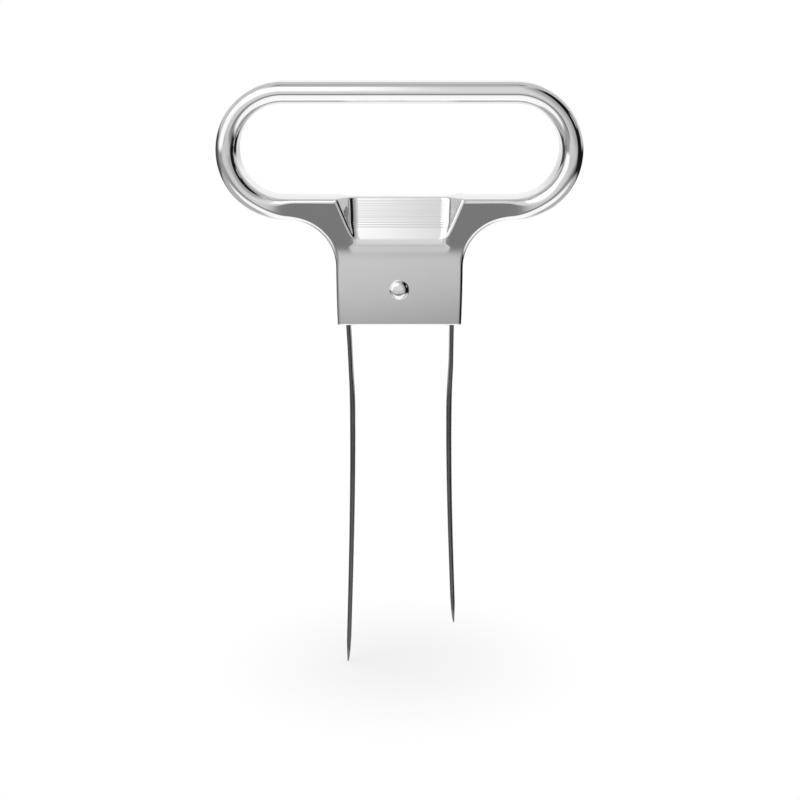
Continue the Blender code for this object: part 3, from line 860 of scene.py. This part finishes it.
# %% Sleeve
sleeve_profile = [
    (SLEEVE_RADIUS - SLEEVE_EDGE, -SLEEVE_END),
    (SLEEVE_RADIUS, SLEEVE_EDGE - SLEEVE_END),
    (SLEEVE_RADIUS, SLEEVE_END - SLEEVE_EDGE),
    (SLEEVE_RADIUS - SLEEVE_EDGE, SLEEVE_END),
    (SLEEVE_BORE, SLEEVE_END),
    (SLEEVE_BORE, -SLEEVE_END),
]
vertices, faces = turned(sleeve_profile, True)
add_piece("rivet_sleeve", vertices, faces, turned_steel, "handle", "pivot_sleeve")

# %% [markdown]
# ## The prong strip
#
# One strip of spring steel makes both prongs. Its middle line climbs over the sleeve, runs level to
# a shoulder on each side and turns down into a prong. The prongs draw together to a waist and then
# spread towards their tips, so that they spring against the bottle's neck. Below the handle each is
# slightly arched across, so that it hugs the cork, and it ends in a thin rounded tip. We list
# stations along this line and give each one a ring: a flat outline with rounded long edges, bent by
# the arch. The pair hangs a little to the right of the rivet, as a loose strip does.

# %% Sizes of the strip
STRIP = 0.7 * MM
STRIP_WIDTH = 6.2 * MM
SADDLE_SEAT = 0.3 * MM
SADDLE_FILLET = 1.0 * MM
SHOULDER_RADIUS = 2.2 * MM
LONG_PRONG = 68.3 * MM
SHORT_PRONG = 60.1 * MM

MOUTH_REACH = 9.65 * MM
WAIST_REACH = 9.3 * MM
WAIST_DROP = 26.0 * MM
TIP_REACH = 10.4 * MM
PRONG_SHIFT = 0.25 * MM
SHIFT_RUN = 16.0 * MM

ARCH_RADIUS = 16.0 * MM
ARCH_DROP = 19.0 * MM
ARCH_RUN = 5.0 * MM

TIP_WIDTH = 4.6 * MM
TIP_LENGTH = 3.4 * MM
TIP_EDGE = 0.25 * MM
TIP_BEVEL = 4.2 * MM
TIP_FULL_SHARE = 0.985
print("tips at %.1f and %.1f mm below the rivet"
      % ((NECK_DROP + LONG_PRONG) / MM, (NECK_DROP + SHORT_PRONG) / MM))

# %% A prong's course
def prong_reach(drop, length):
    """Distance of a prong's middle line from the rivet's axis, at this drop below the axis."""
    if drop <= WAIST_DROP:
        share = (drop - NECK_DROP) / (WAIST_DROP - NECK_DROP)
        return mix(WAIST_REACH, MOUTH_REACH, (1 - max(share, 0.0)) ** 2)
    share = (drop - WAIST_DROP) / (NECK_DROP + length - WAIST_DROP)
    return mix(WAIST_REACH, TIP_REACH, smooth(share / 2) * 2)


print("reach at the mouth: %.2f mm" % (prong_reach(NECK_DROP, LONG_PRONG) / MM))

# %% How finely the strip is sampled
CROWN_STEPS = 16
SADDLE_FOOT_STEPS = 10
BEND_STEPS = 12
HIDDEN_STEPS = 4
ARCHED_STEPS = 16
STRAIGHT_STEPS = 20
TIP_STEPS = 16
ACROSS_STEPS = 10
LONG_EDGE_ROUNDING = 0.4
LONG_EDGE_STEPS = 4


def spread(start, end, steps):
    """Even steps from start, which is left out, to end."""
    return [mix(start, end, i / steps) for i in range(1, steps + 1)]


print("places inside the handle, mm:", [
    round(drop / MM, 2) for drop in spread(SHOULDER_RADIUS, NECK_DROP, HIDDEN_STEPS)
])

# %% Stations down a prong
def prong_stations(length):
    """Stations down the right prong: (x, z, half width, thickness, arch height)."""
    tip = NECK_DROP + length
    arched, taper = ARCH_DROP + ARCH_RUN, tip - TIP_BEVEL
    turns = [math.pi / 2 * i / TIP_STEPS for i in range(TIP_STEPS + 1)]
    drops = spread(SHOULDER_RADIUS, NECK_DROP, HIDDEN_STEPS)
    drops += spread(NECK_DROP, arched, ARCHED_STEPS)
    drops += spread(arched, taper, STRAIGHT_STEPS)
    drops += [tip - TIP_LENGTH * math.cos(turn) for turn in turns]
    stations = []
    for drop in drops:
        width = mix(STRIP_WIDTH, TIP_WIDTH, smooth((drop - ARCH_DROP) / (tip - ARCH_DROP)))
        end = (drop - tip + TIP_LENGTH) / TIP_LENGTH
        if end > 0:
            width *= math.sqrt(1 - (end * TIP_FULL_SHARE) ** 2)
        bevel = max((drop - taper) / TIP_BEVEL, 0)
        arch = smooth((drop - ARCH_DROP + ARCH_RUN) / (2 * ARCH_RUN))
        sag = ARCH_RADIUS - math.sqrt(ARCH_RADIUS ** 2 - (width / 2) ** 2)
        thickness = mix(STRIP, TIP_EDGE, bevel)
        stations.append((prong_reach(drop, length), -drop, width / 2, thickness, arch * sag))
    return stations


print("stations down a prong:", len(prong_stations(LONG_PRONG)))

# %% The saddle's line
def arc_points(centre, radius, start_degrees, end_degrees, steps):
    """Points round an arc, with both its ends."""
    points = []
    for i in range(steps + 1):
        angle = math.radians(mix(start_degrees, end_degrees, i / steps))
        points.append(centre + Vector((math.cos(angle), math.sin(angle))) * radius)
    return points


def saddle_line():
    """Middle line of the strip from the saddle's crown to the right shoulder's end."""
    saddle = SLEEVE_RADIUS + SADDLE_SEAT + STRIP / 2
    fillet = SADDLE_FILLET + STRIP / 2
    level = STRIP / 2
    fillet_z = level + fillet
    turn = math.degrees(math.asin(fillet_z / (saddle + fillet)))
    fillet_x = (saddle + fillet) * math.cos(math.radians(turn))
    bend = SHOULDER_RADIUS - STRIP / 2
    crown = arc_points(Vector((0, 0)), saddle, 90, turn, CROWN_STEPS)
    foot_centre = Vector((fillet_x, fillet_z))
    foot = arc_points(foot_centre, fillet, 180 + turn, 270, SADDLE_FOOT_STEPS)
    reach = prong_reach(SHOULDER_RADIUS, LONG_PRONG)
    shoulder = arc_points(Vector((reach - bend, level - bend)), bend, 90, 0, BEND_STEPS)
    return crown + foot[1:] + shoulder


print("stations over half the saddle:", len(saddle_line()))

# %% Rings round the strip
def strip_ring(half_width, thickness):
    """(across, outwards) points of the strip's section: flat faces and rounded long edges."""
    corner = min(LONG_EDGE_ROUNDING * thickness, half_width / 2)
    flat_half = half_width - corner
    places = [mix(-flat_half, flat_half, i / ACROSS_STEPS) for i in range(ACROSS_STEPS + 1)]
    section = [(across, thickness / 2) for across in places]
    for side, face in ((1, 1), (1, -1), (-1, -1), (-1, 1)):
        for i in range(1, LONG_EDGE_STEPS):
            share = i / LONG_EDGE_STEPS
            angle = math.pi / 2 * (share if side == face else 1 - share)
            across = side * (flat_half + corner * math.sin(angle))
            section.append((across, face * (thickness / 2 - corner * (1 - math.cos(angle)))))
        if (side, face) == (1, -1):
            section += [(across, -thickness / 2) for across in reversed(places)]
    return section


print("points of a ring:", len(strip_ring(STRIP_WIDTH / 2, STRIP)))

# %% The strip
def prong_strip():
    """Vertices and faces of the whole strip, from the long prong's tip to the short prong's."""
    saddle = [(p.x, p.y, STRIP_WIDTH / 2, STRIP, 0.0) for p in saddle_line()]
    right = saddle + prong_stations(SHORT_PRONG)
    left = [(-x, *rest) for x, *rest in saddle[1:] + prong_stations(LONG_PRONG)]
    stations = list(reversed(left)) + right
    vertices = []
    for i, (x, z, half_width, thickness, arch) in enumerate(stations):
        before, after = stations[max(i - 1, 0)], stations[min(i + 1, len(stations) - 1)]
        along = Vector((after[0] - before[0], after[1] - before[1])).normalized()
        outwards = Vector((-along.y, along.x))
        aside = PRONG_SHIFT * smooth(-z / SHIFT_RUN)
        for across, out in strip_ring(half_width, thickness):
            offset = outwards * (out - arch * (across / half_width) ** 2)
            vertices.append((x + offset.x + aside, across, z + offset.y + RIVET_Z))
    count = len(vertices) // len(stations)
    faces = [tuple(range(count)), tuple(reversed(range(len(vertices) - count, len(vertices))))]
    for i in range(len(stations) - 1):
        for a in range(count):
            b = (a + 1) % count
            faces.append((i * count + b, i * count + a, (i + 1) * count + a, (i + 1) * count + b))
    return vertices, faces


vertices, faces = prong_strip()
add_piece("spring_prongs", vertices, faces, ground_steel, "prongs", "prong_strip")

# %% [markdown]
# ## The room
#
# A catalogue picture of bright steel is made on a white table, with a large soft box to one side and
# a black card to the other, and the metal shows all of them. The object is small beside such a room,
# so only the direction of each light matters, and we paint the room straight into the world: every
# card is a soft-edged patch, placed by its compass angle and its height in degrees. An angle of 0 is
# where the camera stands and 90 is the object's right. A later patch lies over the earlier ones.
#
# Each patch has its own work on the steel. The flat neck looks into the light strip in the table's
# dark edge, the wings, which flare out, look just under it, and the thumb rest, which leans back,
# looks up at the front wall. The round bead shows the whole room at once, squeezed into lines: the
# ceiling and the soft box above, the edge with its strip in the middle and the table below. The
# cards at the sides give the sloped facets and the handle's ends their light and dark. The
# background stays white because the world answers camera rays with white.

# %% Arithmetic in a node tree
def math_step(tree, operation, *values):
    """A math node over numbers and links, and the link that carries its result."""
    node = tree.nodes.new("ShaderNodeMath")
    node.operation = operation
    for socket, value in zip(node.inputs, values):
        if isinstance(value, (int, float)):
            socket.default_value = value
        else:
            tree.links.new(value, socket)
    return node.outputs[0]


def soft_limit(tree, value, half, softness):
    """1 where value is under half, 0 where it is over, with a soft edge between."""
    node = tree.nodes.new("ShaderNodeMapRange")
    node.interpolation_type = "SMOOTHSTEP"
    node.inputs["From Min"].default_value = half - softness / 2
    node.inputs["From Max"].default_value = half + softness / 2
    node.inputs["To Min"].default_value = 1
    node.inputs["To Max"].default_value = 0
    tree.links.new(value, node.inputs["Value"])
    return node.outputs["Result"]


world = bpy.data.worlds.new("studio")
bpy.context.scene.world = world
world.use_nodes = True
room = world.node_tree
room.nodes.clear()
print("world:", world.name)

# %% Compass angle and height of every direction
look = room.nodes.new("ShaderNodeTexCoord")
split = room.nodes.new("ShaderNodeSeparateXYZ")
room.links.new(look.outputs["Generated"], split.inputs["Vector"])
towards_camera = math_step(room, "MULTIPLY", split.outputs["Y"], -1)
turn_from_camera = math_step(room, "ARCTAN2", split.outputs["X"], towards_camera)
compass = math_step(room, "DEGREES", turn_from_camera)
height = math_step(room, "DEGREES", math_step(room, "ARCSINE", split.outputs["Z"]))
print("direction steps:", len(room.nodes))

# %% Cards and lights
# name: light, compass angle, half width and its softness, height, half height and its softness
PATCHES = {
    "table round about": (0.48, 0, 180, 1, -60, 36, 6),
    "white wall behind": (0.95, 180, 42, 24, -2, 18, 16),
    "bright table": (1.08, 6, 62, 26, -60, 33, 8),
    "bright table behind": (0.95, 180, 30, 20, -60, 36, 8),
    "under the object": (1.15, 0, 180, 1, -90, 22, 14),
    "dark edge of the table": (0.21, -22, 100, 30, -11, 10.5, 9),
    "dark far left": (0.08, -133, 35, 20, -7, 17, 8),
    "dark far right": (0.012, 105, 63, 40, -13, 11, 8),
    "lighter left end of the edge": (0.36, -50, 27, 30, -13, 12.5, 9),
    "front wall": (0.76, 2, 30, 50, 30, 34, 24),
    "soft box": (1.2, -41, 41, 7, 43, 24, 12),
    "dim ceiling": (0.33, 0, 180, 1, 80, 4, 4),
    "soft box's lower edge": (1.1, -56, 24, 10, 8, 12, 6),
    "dim corner beside the card": (0.42, 40, 20, 24, 25, 40, 20),
    "black card": (0.008, 75, 25, 8, 24, 40, 18),
    "gap beside the card": (0.6, 85, 6, 4, 22, 6, 6),
    "light strip in the edge": (0.62, -4, 40, 20, -6.9, 3.9, 5),
    "brighter end of the strip": (0.68, -18, 18, 9, -6.9, 3.9, 5),
}
BASE_LIGHT = 0.62
print("cards and lights:", ", ".join(PATCHES))

# %% Paint the room
brightness = BASE_LIGHT
for light, angle, half_width, side_softness, rise, half_height, rise_softness in PATCHES.values():
    turned_by = math_step(room, "SUBTRACT", compass, angle)
    aside = math_step(room, "ABSOLUTE", math_step(room, "WRAP", turned_by, 180, -180))
    above = math_step(room, "ABSOLUTE", math_step(room, "SUBTRACT", height, rise))
    across = soft_limit(room, aside, half_width, side_softness)
    inside = math_step(
        room, "MULTIPLY", across, soft_limit(room, above, half_height, rise_softness)
    )
    change = math_step(room, "SUBTRACT", light, brightness)
    brightness = math_step(room, "MULTIPLY_ADD", inside, change, brightness)
print("nodes that paint the room:", len(room.nodes))

# %% White for the camera
paths = room.nodes.new("ShaderNodeLightPath")
to_white = math_step(room, "SUBTRACT", 1, brightness)
seen = math_step(room, "MULTIPLY_ADD", paths.outputs["Is Camera Ray"], to_white, brightness)
background = room.nodes.new("ShaderNodeBackground")
background.inputs["Color"].default_value = (1, 1, 1, 1)
room.links.new(seen, background.inputs["Strength"])
output = room.nodes.new("ShaderNodeOutputWorld")
room.links.new(background.outputs["Background"], output.inputs["Surface"])
print("world nodes:", len(room.nodes))

# %% [markdown]
# ## The floor
#
# A plain white floor lies just under the longer prong's tip. Close to the tip it is real paint that
# takes a shadow, and further out it fades into pure white, so no horizon shows. The metal sees the
# table that is already painted into the world, so the floor itself is left out of reflections.

# %% Floor
FLOOR_HALF = 0.3
FLOOR_GAP = 0.1 * MM
FLOOR_SHADE = 0.95
FLOOR_ROUGHNESS = 0.9
SHADOW_REACH = 40 * MM
SHADOW_SHARE = 0.25

floor_z = cad_low.z - FLOOR_GAP
floor_corners = [
    (x * FLOOR_HALF, y * FLOOR_HALF, 0) for x, y in ((-1, -1), (1, -1), (1, 1), (-1, 1))
]
floor_mesh = bpy.data.meshes.new("floor")
floor_mesh.from_pydata(floor_corners, [], [(0, 1, 2, 3)])
floor = bpy.data.objects.new("floor", floor_mesh)
floor.location = (0, 0, floor_z)
floor.visible_glossy = False
bpy.context.collection.objects.link(floor)
print("floor at z = %.1f mm" % (floor_z / MM))

# %% Paint of the floor
floor_paint = bpy.data.materials.new("white_floor")
floor_paint.use_nodes = True
floor_mesh.materials.append(floor_paint)
paint = floor_paint.node_tree
matt = paint.nodes["Principled BSDF"]
matt.inputs["Base Color"].default_value = (FLOOR_SHADE, FLOOR_SHADE, FLOOR_SHADE, 1)
matt.inputs["Roughness"].default_value = FLOOR_ROUGHNESS
glow = paint.nodes.new("ShaderNodeEmission")
glow.inputs["Color"].default_value = (1, 1, 1, 1)
place = paint.nodes.new("ShaderNodeTexCoord")
reach = paint.nodes.new("ShaderNodeVectorMath")
reach.operation = "LENGTH"
paint.links.new(place.outputs["Object"], reach.inputs[0])
near = soft_limit(paint, reach.outputs["Value"], SHADOW_REACH / 2, SHADOW_REACH)
ray = paint.nodes.new("ShaderNodeLightPath")
painted = math_step(paint, "MULTIPLY", near, SHADOW_SHARE)
unpainted = math_step(paint, "SUBTRACT", 1, painted)
white_share = math_step(paint, "MULTIPLY", unpainted, ray.outputs["Is Camera Ray"])
blend = paint.nodes.new("ShaderNodeMixShader")
paint.links.new(white_share, blend.inputs["Fac"])
paint.links.new(matt.outputs["BSDF"], blend.inputs[1])
paint.links.new(glow.outputs["Emission"], blend.inputs[2])
paint.links.new(blend.outputs["Shader"], paint.nodes["Material Output"].inputs["Surface"])
print("paint nodes:", len(paint.nodes))

# %% [markdown]
# ## The camera
#
# A longish lens looks down on the tool a little, from straight ahead. A small sideways shift puts
# the tool where it stands in the picture.

# %% Camera
CAMERA_ELEVATION = math.radians(14.10)
CAMERA_DISTANCE = 0.29987
CAMERA_TARGET = Vector((0, 0, -0.00309))
SENSOR_WIDTH = 36
LENS_PIXELS = 1582
IMAGE_PIXELS = 800
SIDE_PIXELS = 0.54
NEAREST, FARTHEST = 0.01, 10

camera_data = bpy.data.cameras.new("camera")
camera = bpy.data.objects.new("camera", camera_data)
bpy.context.collection.objects.link(camera)
bpy.context.scene.camera = camera
looking = Vector((0, math.cos(CAMERA_ELEVATION), -math.sin(CAMERA_ELEVATION)))
camera.location = CAMERA_TARGET - looking * CAMERA_DISTANCE
camera.rotation_euler = (math.pi / 2 - CAMERA_ELEVATION, 0, 0)
camera_data.sensor_width = SENSOR_WIDTH
camera_data.lens = SENSOR_WIDTH * LENS_PIXELS / IMAGE_PIXELS
camera_data.shift_x = SIDE_PIXELS / IMAGE_PIXELS
camera_data.clip_start, camera_data.clip_end = NEAREST, FARTHEST
bpy.context.scene.view_settings.view_transform = "Standard"
print("lens %.1f mm" % camera_data.lens)
